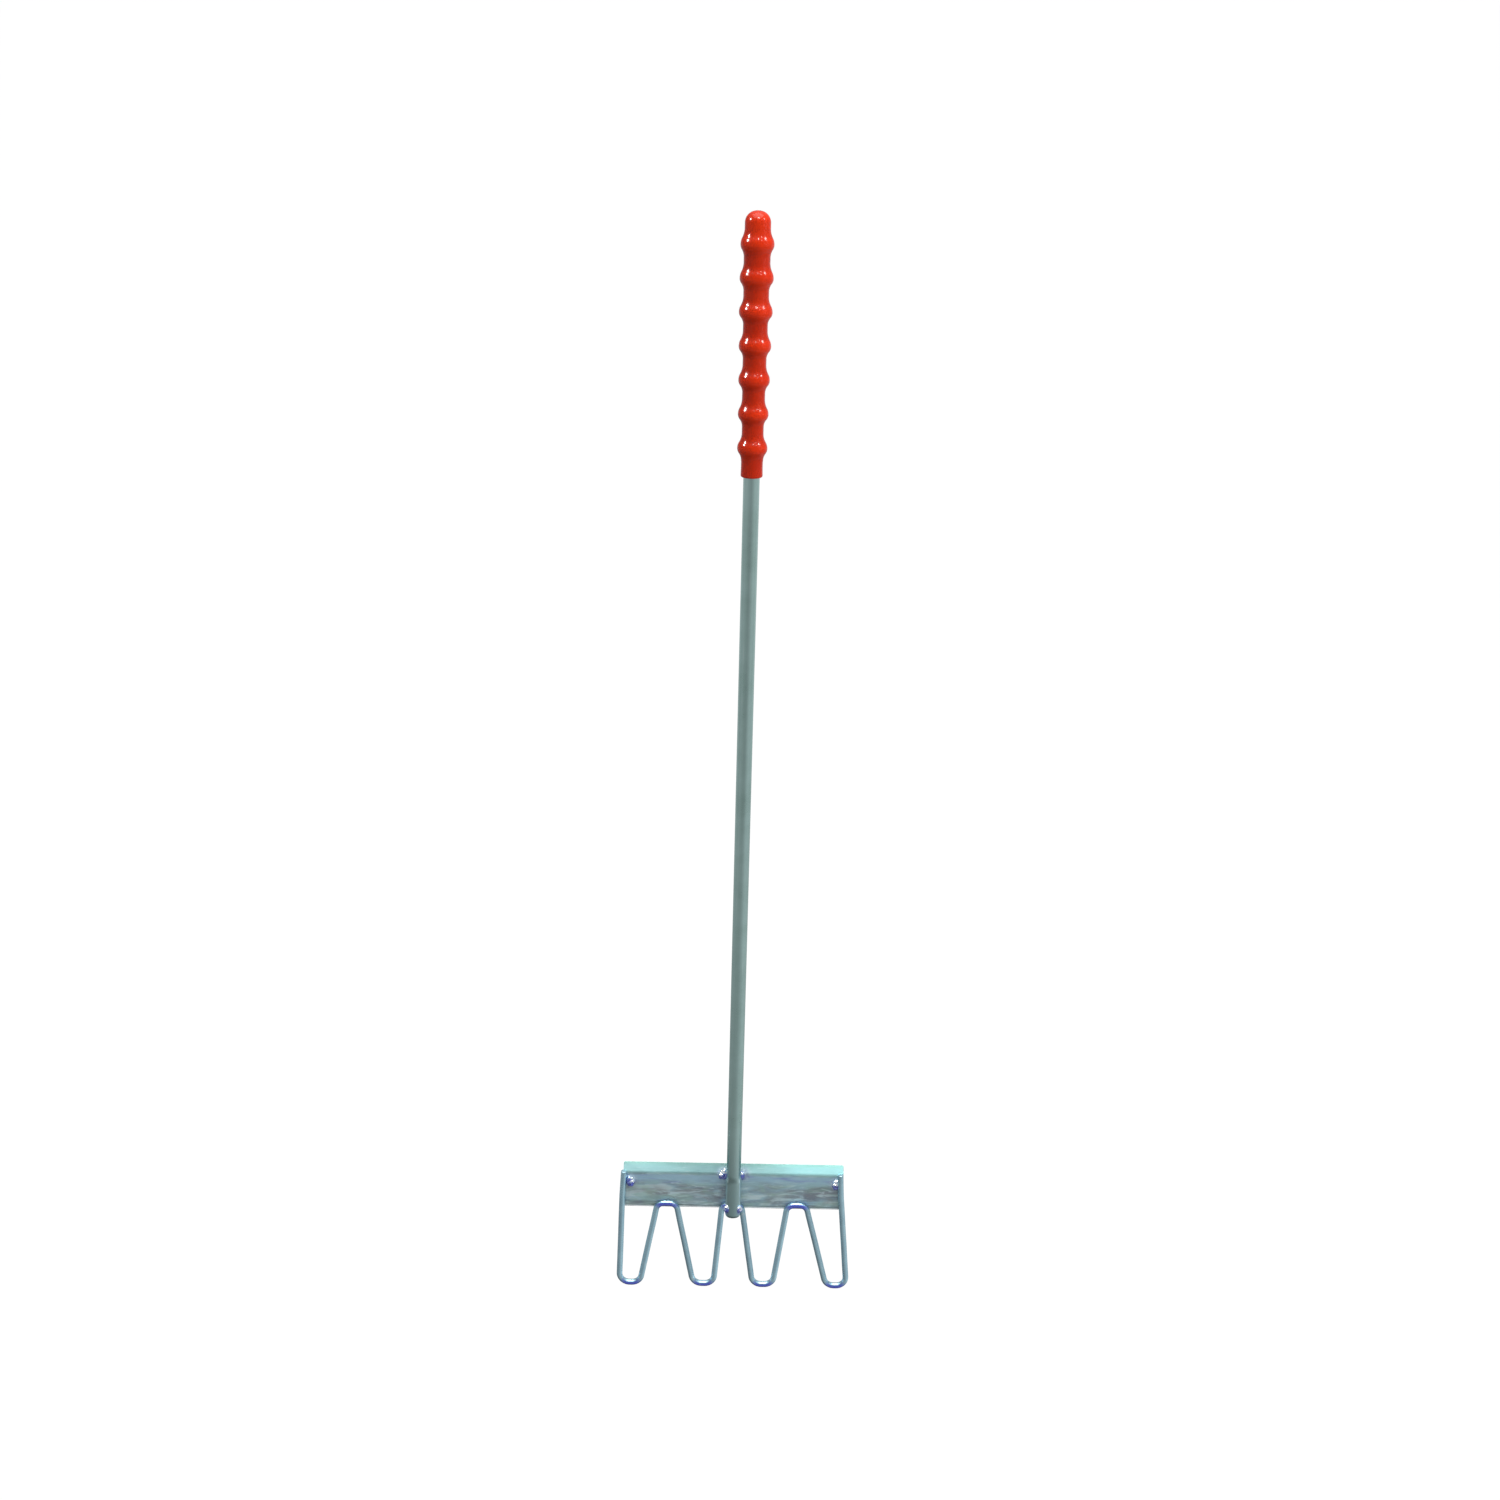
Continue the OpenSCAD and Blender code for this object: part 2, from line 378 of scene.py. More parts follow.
def rounded_path(corners):
    """Points along the wire's centre line, each with how bent the wire is there."""
    corners = [Vector(c) for c in corners]
    out = []

    def straight(a, b):
        steps = max(2, int((b - a).length / 2.5))
        for k in range(steps):
            out.append((a.lerp(b, k / steps), 0.0))

    start = corners[0]
    for before, corner, after in zip(corners, corners[1:], corners[2:]):
        d0, d1 = (corner - before).normalized(), (after - corner).normalized()
        turn = d0.angle_signed(d1) * -1
        bend = FOOT_BEND if corner.y < CROWN_Z / 2 else CROWN_BEND
        setback = bend * math.tan(abs(turn) / 2)
        enter = corner - d0 * setback
        straight(start, enter)
        side = math.copysign(1, turn)
        centre = enter + Vector((-d0.y, d0.x)) * side * bend
        steps = 18
        for k in range(steps):
            a = turn * k / steps
            arm = enter - centre
            point = centre + Vector((
                arm.x * math.cos(a) - arm.y * math.sin(a),
                arm.x * math.sin(a) + arm.y * math.cos(a),
            ))
            out.append((point, math.sin(math.pi * k / steps)))
        start = corner + d1 * setback
    straight(start, corners[-1])
    out.append((corners[-1], 0.0))
    return out


def build_wire():
    path = rounded_path(comb_corners())
    points = [p for p, _ in path]
    rings, levels = [], []
    count = 32
    for i, (p, bent) in enumerate(path):
        ahead = points[min(i + 1, len(points) - 1)]
        behind = points[max(i - 1, 0)]
        d = (ahead - behind).normalized()
        levels.append(abs(d.x))
        side = Vector((-d.y, d.x))
        sway = 0.12 * wave(p.x, 0, p.y, 26)
        middle = p + side * sway
        in_plane = WIRE_R * (1 - 0.025 * bent)
        across = WIRE_R * (1 + 0.004 * bent)
        ring = []
        for j in range(count):
            a = 2 * math.pi * j / count
            q = middle + side * (in_plane * math.cos(a))
            ring.append((swayed(q.x, q.y), WIRE_Y + across * math.sin(a), q.y))
        rings.append(ring)
    start, end = chamfered_start(rings), chamfered_start(rings[::-1])
    wire = loft("bent_comb", start + rings[1:-1] + end[::-1])
    levels = [levels[0]] * len(start) + levels[1:-1] + [levels[-1]] * len(end)
    attribute = wire.data.attributes.new("level", "FLOAT", "POINT")
    attribute.data.foreach_set("value", [level for level in levels for _ in range(count)])
    return wire


def chamfered_start(rings):
    """Rings that round the wire's sheared end over, in place of the first one."""
    ring = [Vector(p) for p in rings[0]]
    middle = sum(ring, Vector((0, 0, 0))) / len(ring)
    step = sum((Vector(p) for p in rings[1]), Vector((0, 0, 0))) / len(ring) - middle
    inward = step.normalized()
    out = []
    for depth, size in ((0.0, 0.55), (0.02, 0.84), (0.12, 0.93), (0.32, 0.98), (0.6, 1.0)):
        out.append([tuple(middle + (p - middle) * size + inward * depth) for p in ring])
    return out


# ---------------------------------------------------------------- welds

def bead(name, centre, radii, seed, tilt):
    """A blob of weld metal: an ellipsoid with soft lumps and fine solidification ripples."""
    rings = []
    rows, count = 40, 56
    turn = Matrix.Rotation(tilt, 3, "Y")
    for i in range(1, rows):
        polar = math.pi * i / rows
        ring = []
        for j in range(count):
            a = 2 * math.pi * j / count
            d = Vector((math.sin(polar) * math.cos(a), math.sin(polar) * math.sin(a), math.cos(polar)))
            size = 1 + 0.30 * noise.noise(d * 1.6 + Vector((seed, 0, 0)))
            size += 0.02 * math.sin(17 * d.z + 2.5 * noise.noise(d * 2 + Vector((0, seed, 0))))
            size += 0.02 * noise.noise(d * 5 + Vector((0, 0, seed)))
            local = Vector((d.x * radii[0], d.y * radii[1], d.z * radii[2])) * size
            ring.append(tuple(Vector(centre) + turn @ local))
        rings.append(ring)
    return loft(name, rings)


def build_welds():
    """The six beads, each under the name of the node it replaces."""
    beads = {}

    def add(name, centre, radii, seed, tilt):
        beads[name] = bead("bead_" + name, centre, radii, seed, tilt)

    # On the tube's flanks, at the plate's fold. The right one is hardly seen in the photo.
    add("tube_weld_upper_left", (-8.5, BLADE_Y - 0.8, FOLD_Z + 0.6), (3.6, 2.8, 5.0), 1.3, 0.35)
    add("tube_weld_upper_right", (6.8, BLADE_Y - 0.4, FOLD_Z - 0.6), (2.2, 1.9, 3.4), 4.1, -0.2)

    # Between the pressed end and the wire's middle bend.
    low_z = CROWN_Z - 1.4
    add("tube_weld_lower_left", (1.3 - END_HALF_W, -2.5, low_z), (2.4, 2.2, 3.7), 7.7, 0.2)
    add("tube_weld_lower_right", (END_HALF_W - 1.1, -2.5, low_z), (2.4, 2.2, 3.7), 9.2, -0.2)

    # Beside the wire's two ends.
    for name, side, seed in (("wire_end_weld_left", -1, 12.5), ("wire_end_weld_right", 1, 15.1)):
        centre = (side * (HEAD_X[0] - 3.7), BLADE_Y - 0.8, WIRE_END_Z - 11)
        add(name, centre, (3.6, 2.5, 4.7), seed, side * 0.3)
    return beads


# ---------------------------------------------------------------- materials

class Graph:
    """A short way to write the nodes of a material or a world."""

    def __init__(self, owner, kind):
        self.owner = owner
        owner.use_nodes = True
        self.tree = owner.node_tree
        self.tree.nodes.clear()
        self.out = self.tree.nodes.new("ShaderNodeOutput" + kind)

    def node(self, kind, inputs=None, **settings):
        made = self.tree.nodes.new("ShaderNode" + kind)
        for key, value in settings.items():
            setattr(made, key, value)
        for key, value in (inputs or {}).items():
            self.set(made.inputs[key], value)
        return made

    def set(self, socket, value):
        if isinstance(value, bpy.types.NodeSocket):
            self.tree.links.new(value, socket)
        else:
            socket.default_value = value

    def here(self):
        """The shaded point, in metres."""
        return self.node("TexCoord").outputs["Object"]

    def place(self, scale):
        """The shaded point with each axis scaled, for noise that is drawn out along one of them."""
        return self.node("Mapping", {"Vector": self.here(), "Scale": scale}).outputs["Vector"]

    def noise(self, vector, scale, detail=3.0, roughness=0.5, distortion=0.0):
        made = self.node("TexNoise", {
            "Vector": vector, "Scale": scale, "Detail": detail,
            "Roughness": roughness, "Distortion": distortion,
        })
        return made.outputs["Fac"]

    def ramp(self, value, stops):
        made = self.node("ValToRGB", {"Fac": value})
        ramp = made.color_ramp
        while len(ramp.elements) < len(stops):
            ramp.elements.new(0.5)
        for element, (position, colour) in zip(ramp.elements, stops):
            element.position = position
            element.color = colour
        return made.outputs["Color"]

    def remap(self, value, low, high, to_low=0.0, to_high=1.0, kind="LINEAR"):
        made = self.node("MapRange", {
            "Value": value, "From Min": low, "From Max": high, "To Min": to_low, "To Max": to_high,
        }, interpolation_type=kind)
        return made.outputs["Result"]

    def band(self, value, low, high, soft):
        """1 between low and high millimetres, falling to 0 over soft millimetres on each side."""
        rising = self.remap(value, (low - soft) * MM, low * MM)
        falling = self.remap(value, (high + soft) * MM, high * MM)
        return self.times(rising, falling)

    def math(self, operation, a, b=0.0):
        made = self.node("Math", operation=operation)
        self.set(made.inputs[0], a)
        self.set(made.inputs[1], b)
        return made.outputs[0]

    def times(self, a, b):
        return self.math("MULTIPLY", a, b)

    def add(self, first, *rest):
        for value in rest:
            first = self.math("ADD", first, value)
        return first

    def mix(self, factor, a, b, blend="MIX"):
        made = self.node("Mix", data_type="RGBA", blend_type=blend)
        self.set(made.inputs[0], factor)
        self.set(made.inputs[6], a)
        self.set(made.inputs[7], b)
        return made.outputs[2]

    def bump(self, height, strength, distance, normal=None):
        inputs = {"Height": height, "Strength": strength, "Distance": distance}
        if normal is not None:
            inputs["Normal"] = normal
        return self.node("Bump", inputs).outputs["Normal"]

    def near(self, centre, inner, outer):
        """1 within inner millimetres of a point, falling to 0 at outer."""
        spot = Vector(centre) * MM
        made = self.node("VectorMath", {0: self.here(), 1: spot}, operation="DISTANCE")
        return self.remap(made.outputs["Value"], inner * MM, outer * MM, 1.0, 0.0, "SMOOTHSTEP")

    def axis(self, vector, name):
        return self.node("SeparateXYZ", {"Vector": vector}).outputs[name]

    def along(self, name, low, high, to_low=0.0, to_high=1.0, kind="LINEAR"):
        """Remaps the shaded point's place along one axis, between two places in millimetres."""
        place = self.axis(self.here(), name)
        return self.remap(place, low * MM, high * MM, to_low, to_high, kind)

    def facing_up(self):
        """1 where the surface faces straight up, and -1 where it faces straight down."""
        return self.axis(self.node("NewGeometry").outputs["Normal"], "Z")

    def principled(self, **inputs):
        made = self.node("BsdfPrincipled", {k.replace("_", " "): v for k, v in inputs.items()})
        return made.outputs["BSDF"]

    def emission(self, colour, strength):
        return self.node("Emission", {"Color": colour, "Strength": strength}).outputs["Emission"]

    def blend(self, factor, a, b):
        return self.node("MixShader", {0: factor, 1: a, 2: b}).outputs["Shader"]

    def surface(self, shader):
        self.tree.links.new(shader, self.out.inputs["Surface"])
        return self.owner


def new_material(name):
    return Graph(bpy.data.materials.new(name), "Material")


def grey(value):
    return (value, value, value, 1)


def zinc_finish(g, tone, clouds, rough_low, rough_high, brush, metal=1.0):
    """Satin plate over a given colour: uneven gloss, drawn scratches and fine orange peel."""
    fine = g.noise(g.here(), 900, 3, 0.6)
    gloss = g.add(g.times(clouds, 0.6), g.times(fine, 0.4))
    rough = g.remap(gloss, 0.3, 0.7, rough_low, rough_high)
    scratches = g.noise(g.place(brush), 1.0, 3, 0.55, 0.2)
    normal = g.bump(g.remap(scratches, 0.4, 0.8), 0.10, 0.0001)
    normal = g.bump(fine, 0.06, 0.0001, normal)
    worn = g.times(g.remap(scratches, 0.62, 0.72), 0.25)
    tone = g.mix(worn, tone, (0.75, 0.80, 0.80, 1))
    return g.surface(g.principled(Base_Color=tone, Metallic=metal, Roughness=rough, Normal=normal))


def tube_zinc(name):
    """Drawn tube: lengthwise streaks, darker near the head, painted reflections down its sides, painted
    highlights on its pressed end and dark blue patches beside the lower beads.
    """
    g = new_material(name)
    clouds = g.noise(g.here(), 38, 4, 0.55, 0.4)
    streaks = g.noise(g.place((420, 420, 5)), 1.0, 4, 0.6)
    tone = g.mix(g.remap(clouds, 0.3, 0.7), (0.34, 0.49, 0.45, 1), (0.45, 0.62, 0.59, 1))
    tone = g.mix(g.times(g.remap(streaks, 0.4, 0.7), 0.4), tone, (0.50, 0.66, 0.65, 1))
    across, up = g.axis(g.here(), "X"), g.axis(g.here(), "Z")
    off_axis = g.math("ABSOLUTE", across)
    head = g.along("Z", 85, 160, 1.0, 0.0, "SMOOTHSTEP")
    tone = g.mix(g.times(head, 0.7), tone, (0.27, 0.40, 0.41, 1))
    # Painted reflection: the tube's sides lighter from its end to just above the flange.
    side_sheen = g.remap(off_axis, 4.4 * MM, TUBE_R * MM, kind="SMOOTHSTEP")
    pressed = g.along("Z", ROUND_Z + 2, ROUND_Z + 8, 1.0, 0.0, "SMOOTHSTEP")
    tone = g.mix(g.times(g.times(side_sheen, pressed), 0.8), tone, (0.62, 0.80, 0.82, 1))
    # Painted highlights: short bright streaks on both shoulders where the tube is pressed.
    shoulder_highlight_height = g.band(up, PRESS_Z + 2.5, PRESS_Z + 5.5, 1.5)
    shoulder_highlights = g.times(g.band(off_axis, 4.7, 5.1, 0.6), shoulder_highlight_height)
    # Painted highlight: a bright streak down the right edge of the pressed end.
    edge_highlight_height = g.band(up, PRESS_Z - 11.5, PRESS_Z - 0.5, 4)
    edge_highlight = g.times(g.band(across, 5.1, 5.5, 0.5), edge_highlight_height)
    tone = g.mix(g.times(shoulder_highlights, 0.8), tone, (0.80, 1.0, 1.0, 1))
    tone = g.mix(g.times(edge_highlight, 0.5), tone, (0.66, 0.84, 0.92, 1))
    # Dark blue patch low beside each lower bead.
    for side in (-1, 1):
        weld_patch = g.near((side * 6.2, -2.6, CROWN_Z - 4), 0.8, 4.5)
        tone = g.mix(g.times(weld_patch, 0.85), tone, (0.14, 0.17, 0.50, 1))
    return zinc_finish(g, tone, clouds, 0.24, 0.38, (900, 900, 24))


def sheet_zinc(name):
    """Rolled sheet: soft swirls along its length in grey-blue and grey-brown, hazed round the welds, with
    a painted highlight on the lower lip, a painted shade line above it and painted shading along the
    flange.
    """
    g = new_material(name)
    swirls = g.noise(g.place((26, 60, 100)), 1.0, 4, 0.55, 1.1)
    wisps = g.noise(g.place((45, 90, 240)), 1.0, 5, 0.6, 1.6)
    tone = g.ramp(swirls, [
        (0.36, (0.34, 0.39, 0.45, 1)), (0.46, (0.45, 0.62, 0.69, 1)),
        (0.54, (0.54, 0.79, 0.85, 1)), (0.64, (0.82, 1.00, 1.00, 1)),
    ])
    brown = g.remap(g.noise(g.place((30, 60, 75)), 1.0, 3, 0.5, 0.8), 0.42, 0.66)
    brown = g.times(brown, g.along("Z", 92, 104, 0.85, 0.20, "SMOOTHSTEP"))
    tone = g.mix(brown, tone, (0.42, 0.43, 0.42, 1))
    tone = g.mix(g.times(g.remap(wisps, 0.51, 0.64), 0.90), tone, (0.84, 1.00, 1.00, 1))
    green = g.remap(g.noise(g.place((38, 60, 110)), 1.0, 3, 0.5, 1.2), 0.48, 0.62)
    tone = g.mix(g.times(green, 0.4), tone, (0.50, 0.74, 0.60, 1))
    violet = g.remap(g.noise(g.place((22, 60, 190)), 1.0, 3, 0.5, 0.9), 0.52, 0.66)
    rising = g.along("Z", FOLD_Z - 11.5, FOLD_Z - 5.5)
    falling = g.along("Z", FOLD_Z - 0.5, FOLD_Z - 2.5)
    under_fold = g.times(rising, falling)
    under_fold = g.times(under_fold, 0.8)
    tone = g.mix(under_fold, tone, (0.58, 0.86, 1.00, 1))
    tone = g.mix(g.times(violet, under_fold), tone, (0.36, 0.42, 0.86, 1))
    # Painted shade: a dark line just above the lower lip.
    shade_above_lip = g.band(g.axis(g.here(), "Z"), BLADE_Z + 1.6, BLADE_Z + 2.1, 0.8)
    tone = g.mix(g.times(shade_above_lip, 0.45), tone, (0.22, 0.27, 0.24, 1))
    tone = g.mix(1.0, tone, (0.74, 0.76, 0.79, 1), "MULTIPLY")
    # Painted highlight: the lower lip lit almost white.
    edge = g.along("Z", BLADE_Z + 0.6, BLADE_Z + 1.4, 1.0, 0.0)
    tone = g.mix(edge, tone, (0.98, 1.00, 1.00, 1))
    flange = g.along("Z", FOLD_Z - 2, FOLD_Z + 1, kind="SMOOTHSTEP")
    # The flange's own colour, with painted shading along its length: light at the far left, darkest left
    # of the middle, lightest to the right.
    side = g.along("X", -90, 90)
    haze = g.remap(g.noise(g.place((14, 14, 40)), 1.0, 3, 0.5, 0.6), 0.38, 0.62, 0.86, 1.04)
    flange_tone_with_shading = g.ramp(side, [
        (0.10, (0.31, 0.53, 0.53, 1)), (0.32, (0.21, 0.37, 0.37, 1)), (0.46, (0.24, 0.40, 0.40, 1)),
        (0.60, (0.31, 0.54, 0.54, 1)), (0.80, (0.38, 0.70, 0.70, 1)),
    ])
    flange_tone_with_shading = g.mix(1.0, flange_tone_with_shading, haze, "MULTIPLY")
    rim = g.along("Z", FOLD_Z + 4.5, FOLD_Z + 8.5, 0.0, 0.75)
    flange_tone_with_shading = g.mix(rim, flange_tone_with_shading, g.mix(1.0, flange_tone_with_shading, (0.80, 0.98, 0.74, 1), "MULTIPLY"))
    tone = g.mix(g.times(flange, 0.9), tone, flange_tone_with_shading)
    hot_spots = [(s * (HEAD_X[0] - 4), BLADE_Y, WIRE_END_Z - 11) for s in (-1, 1)]
    hot_spots += [(s * 8, BLADE_Y, FOLD_Z) for s in (-1, 1)]
    for spot in hot_spots:
        weld_patch = g.near(spot, 1.5, 9)
        mottle = g.noise(g.here(), 330, 3, 0.6, 0.8)
        colour = g.ramp(mottle, [(0.38, (0.30, 0.32, 0.50, 1)), (0.60, (0.66, 0.76, 0.78, 1))])
        tone = g.mix(g.times(weld_patch, 0.7), tone, colour)
    metal = g.along("Z", FOLD_Z - 2, FOLD_Z + 1, 0.62, 1.0)
    return zinc_finish(g, tone, wisps, 0.50, 0.64, (60, 900, 900), metal)


def wire_zinc(name):
    """Bright wire: blue-grey, with a painted violet reflection under the level parts of its bends."""
    g = new_material(name)
    clouds = g.noise(g.here(), 60, 4, 0.6, 0.4)
    tone = g.mix(g.remap(clouds, 0.3, 0.7), (0.38, 0.58, 0.68, 1), (0.50, 0.74, 0.83, 1))
    level = g.remap(g.node("Attribute", attribute_name="level").outputs["Fac"], 0.45, 0.9)
    # Painted reflection: violet-blue on the downward-facing side of the level runs, reaching a little
    # higher at the crowns.
    crown = g.along("Z", 30, 70, 0.0, 0.14)
    up = g.math("SUBTRACT", g.facing_up(), crown)
    under = g.remap(up, 0.64, 0.38, 0.0, 0.95, "SMOOTHSTEP")
    tone = g.mix(g.times(under, level), tone, (0.18, 0.22, 1.00, 1))
    blots = g.remap(g.noise(g.here(), 170, 3, 0.5), 0.62, 0.72)
    tone = g.mix(g.times(blots, 0.35), tone, (0.72, 0.82, 0.84, 1))
    return zinc_finish(g, tone, clouds, 0.20, 0.34, (350, 350, 60))


def weld_metal(name):
    """Re-melted steel and zinc: bright spatter with blue-black oxide between, its white patches partly
    painted highlights, and painted blue shade on the undersides.
    """
    g = new_material(name)
    lumps = g.noise(g.here(), 420, 2, 0.5)
    # Random bright spatter and blue-black oxide; the white patches also stand in for painted highlights.
    tone = g.ramp(g.noise(g.here(), 230, 2, 0.5, 0.6), [
        (0.30, (0.10, 0.11, 0.34, 1)), (0.41, (0.26, 0.36, 0.76, 1)),
        (0.47, (0.66, 0.84, 1.00, 1)), (0.53, (0.96, 1.00, 1.00, 1)),
    ])
    # Painted shade: deep blue on the downward-facing undersides.
    under = g.remap(g.facing_up(), 0.35, 0.05, 0.0, 0.85, "SMOOTHSTEP")
    tone = g.mix(under, tone, (0.12, 0.14, 0.62, 1))
    normal = g.bump(lumps, 0.25, 0.0003)
    rough = g.remap(lumps, 0.3, 0.7, 0.14, 0.28)
    return g.surface(g.principled(Base_Color=tone, Metallic=0.75, Roughness=rough, Normal=normal))


def grip_plastic(name):
    """Dipped red plastic: deep colour, painted shade between the ribs, soft gloss and faint rubbed
    patches.
    """
    g = new_material(name)
    clouds = g.noise(g.here(), 60, 3, 0.5)
    tone = g.ramp(clouds, [(0.3, (0.54, 0.020, 0.0012, 1)), (0.7, (0.62, 0.027, 0.0020, 1))])
    rub = g.remap(g.noise(g.place((300, 300, 120)), 1.0, 4, 0.6, 0.5), 0.60, 0.72)
    tone = g.mix(g.times(rub, 0.2), tone, (0.66, 0.06, 0.012, 1))
    # Painted shade: darker in the narrow parts between the ribs, below the dome.
    x, y = g.axis(g.here(), "X"), g.axis(g.here(), "Y")
    radius = g.math("SQRT", g.add(g.times(x, x), g.times(y, y)))
    below_dome = g.along("Z", rib_z(6) + 4, rib_z(6) + 12, 1.0, 0.0)
    narrow = g.remap(radius, 11.2 * MM, 9.0 * MM, kind="SMOOTHSTEP")
    waist_shade = g.times(below_dome, narrow)
    tone = g.mix(g.times(waist_shade, 0.27), tone, (0.16, 0.004, 0.0006, 1))
    rough = g.remap(g.noise(g.here(), 150, 4, 0.6), 0.3, 0.7, 0.13, 0.21)
    normal = g.bump(g.noise(g.here(), 140, 2, 0.5), 0.045, 0.0004)
    normal = g.bump(g.noise(g.here(), 1400, 2, 0.5), 0.02, 0.0001, normal)
    return g.surface(g.principled(
        Base_Color=tone, Roughness=rough, Normal=normal, IOR=1.45, Specular_IOR_Level=0.22,
    ))


def studio_glow(g, towards):
    """What polished metal sees of the studio: dim below and in front, pale to the right, bright above."""
    x, y, z = (g.axis(towards, name) for name in "XYZ")
    to_left = g.remap(x, -0.1, -0.8, kind="SMOOTHSTEP")
    to_right = g.remap(x, 0.15, 0.85, kind="SMOOTHSTEP")
    to_back = g.remap(y, 0.1, 0.8, kind="SMOOTHSTEP")
    low = g.add(
        g.remap(z, -0.25, -0.55, 0.36, 0.50),
        g.times(to_right, g.remap(z, -0.45, -0.23, 0.12, 0.30)),
        g.times(g.remap(x, -0.8, 0.8, -0.28, 0.26), g.remap(z, -0.53, -0.56)),
        g.times(to_left, g.remap(z, -0.45, -0.23, -0.02, 0.16)),
        g.times(to_back, g.remap(z, -0.55, -0.25, -0.05, 0.22)),
    )
    low = g.times(low, g.remap(z, -0.65, -0.95, 1.0, 0.35, "SMOOTHSTEP"))
    high = g.add(
        g.remap(x, 0.0, 0.9, 0.32, 0.55, "SMOOTHSTEP"),
        g.remap(z, 0.35, 0.72, 0.0, 0.58, "SMOOTHSTEP"),
        g.remap(z, 0.80, 0.96, 0.0, 1.4, "SMOOTHSTEP"),
    )
    rise = g.remap(z, -0.10, 0.20, kind="SMOOTHSTEP")
    fall = g.math("SUBTRACT", 1.0, rise)
    return g.add(g.times(low, fall), g.times(high, rise))


def floor_material(name):
    """Pale paper. Mirror-like surfaces see the studio's glow in it rather than the hot paper itself."""
    g = new_material(name)
    tone = g.ramp(g.noise(g.here(), 3, 2, 0.5), [(0.3, grey(0.80)), (0.7, grey(0.83))])
    paper = g.principled(Base_Color=tone, Roughness=0.8)
    dim_paper = g.principled(Base_Color=grey(0.45), Roughness=0.8)
    ray = g.node("LightPath")
    seen = g.blend(0.95, paper, g.emission(grey(1.0), 1.04))
    away = g.node("VectorMath", {0: g.node("NewGeometry").outputs["Incoming"]}, operation="SCALE")
    away.inputs["Scale"].default_value = -1.0
    glow = g.emission((0.95, 0.98, 1.0, 1), studio_glow(g, away.outputs["Vector"]))
    shader = g.blend(ray.outputs["Is Camera Ray"], dim_paper, seen)
    shader = g.blend(ray.outputs["Is Glossy Ray"], shader, glow)
    return g.surface(shader)


# ---------------------------------------------------------------- assembly

def dress(obj, material, slot, *nodes):
    obj.data.materials.clear()
    obj.data.materials.append(material)
    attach(obj, "root")
    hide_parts(*nodes)


bead_metal = weld_metal("weld_metal")

dress(build_tube(), tube_zinc("tube_zinc"), "tube_zinc", "handle_tube")
dress(build_blade(), sheet_zinc("sheet_zinc"), "sheet_zinc", "blade")
dress(build_wire(), wire_zinc("wire_zinc"), "wire_zinc", "tine_wire")
grip = build_grip()
dress(grip, grip_plastic("grip_plastic"), "red_plastic", "grip")
glossy = [grip]
for node_name, weld in build_welds().items():
    dress(weld, bead_metal, "weld_metal", node_name)
    glossy.append(weld)


# ---------------------------------------------------------------- stage, lights and camera

def build_floor():
    """A pale floor that curves up into a backdrop far behind."""
    rings = []
    for x in (-6.0, 6.0):
        row = [(x / MM, -4.0 / MM, 0), (x / MM, 3.0 / MM, 0)]
        for k in range(1, 25):
            a = math.pi / 2 * k / 24
            row.append((x / MM, (3.0 + 1.5 * math.sin(a)) / MM, 1.5 * (1 - math.cos(a)) / MM))
        row.append((x / MM, 4.5 / MM, 5.0 / MM))
        rings.append(row)
    n = len(rings[0])
    faces = [(i, i + 1, n + i + 1, n + i) for i in range(n - 1)]
    floor = make_object("floor", rings[0] + rings[1], faces)
    floor.data.materials.append(floor_material("floor"))


def area_light(name, place, target, size, power):
    """A rectangular lamp at a place in metres, turned to a target."""
    data = bpy.data.lights.new(name, "AREA")
    data.shape = "RECTANGLE"
    data.size, data.size_y = size
    data.energy = power
    obj = bpy.data.objects.new(name, data)
    scene.collection.objects.link(obj)
    obj.location = place
    obj.rotation_euler = (Vector(target) - Vector(place)).to_track_quat("-Z", "Y").to_euler()
    return obj


def glint(name, place, size, power, receivers):
    """A small lamp seen only as a highlight, and only on the glossy pieces."""
    lamp = area_light(name, place, (0, 0, 0.8), size, power)
    lamp.visible_diffuse = False
    lamp.light_linking.receiver_collection = receivers


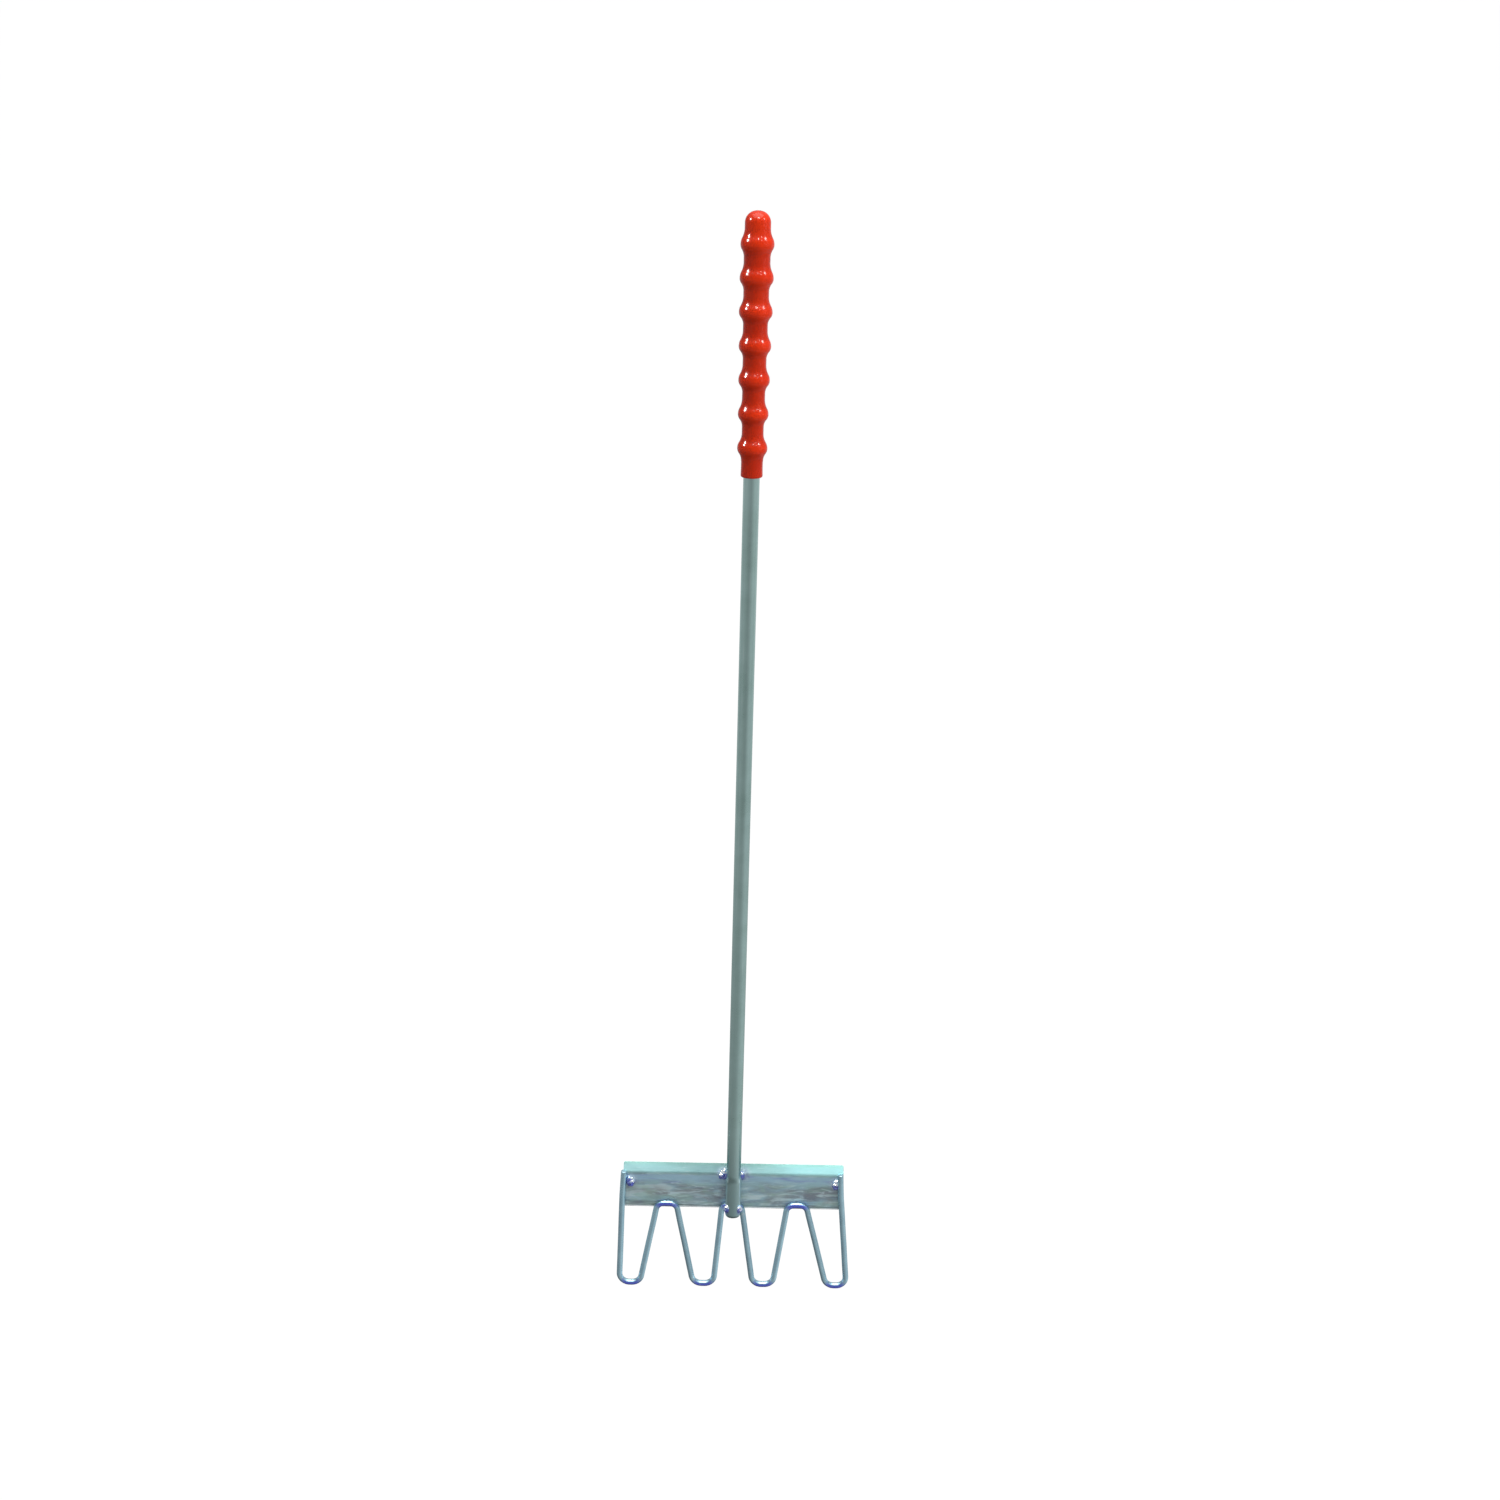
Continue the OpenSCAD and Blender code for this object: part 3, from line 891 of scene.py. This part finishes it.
def build_lights(glossy):
    receivers = bpy.data.collections.new("glossy_pieces")
    for obj in glossy:
        receivers.objects.link(obj)
    area_light("overhead", (0.0, -0.3, 2.4), (0, 0, 0.3), (2.0, 1.6), 42)
    area_light("right_wall", (1.9, -0.7, 1.2), (0, 0, 0.7), (1.2, 1.6), 30).visible_glossy = False
    glint("left_glint", (-1.68, -0.34, 1.79), (0.24, 0.24), 95, receivers)
    glint("high_glint", (0.15, -1.20, 2.40), (0.22, 0.22), 28, receivers)
    glint("side_glint", (0.95, -1.35, 2.10), (0.10, 0.10), 3, receivers)
    glint("right_glint", (1.46, -0.53, 2.00), (0.18, 0.18), 15, receivers)


def build_world():
    """Even pale light, with the studio's glow for mirror-like surfaces."""
    world = bpy.data.worlds.new("studio")
    g = Graph(world, "World")
    ray = g.node("LightPath")
    towards = g.node("TexCoord").outputs["Generated"]
    strength = g.remap(ray.outputs["Is Camera Ray"], 0, 1, 0.42, 1.09)
    plain = g.node("Background", {"Color": (0.95, 0.98, 1.0, 1), "Strength": strength})
    glow = g.node("Background", {"Color": (0.95, 0.98, 1.0, 1), "Strength": studio_glow(g, towards)})
    g.surface(g.blend(ray.outputs["Is Glossy Ray"], plain.outputs[0], glow.outputs[0]))
    scene.world = world


def build_camera():
    """Looks down on the upright tool from in front, with the photo's slight roll."""
    azimuth, elevation, roll = math.radians(-0.8), math.radians(20.0), math.radians(1.53)
    distance, shift = 1.397, 0.0042
    aim = Vector((0, 0, 0.4939))
    back = Vector((
        math.sin(azimuth) * math.cos(elevation),
        -math.cos(azimuth) * math.cos(elevation),
        math.sin(elevation),
    ))
    right = Vector((math.cos(azimuth), math.sin(azimuth), 0))
    data = bpy.data.cameras.new("camera")
    data.sensor_width = 36
    data.lens = 43.54
    camera = bpy.data.objects.new("camera", data)
    scene.collection.objects.link(camera)
    camera.location = aim + back * distance + right * shift
    level = back.to_track_quat("Z", "Y").to_matrix()
    camera.rotation_euler = (level @ Matrix.Rotation(roll, 3, "Z")).to_euler()
    scene.camera = camera


build_floor()
build_world()
build_lights(glossy)
build_camera()
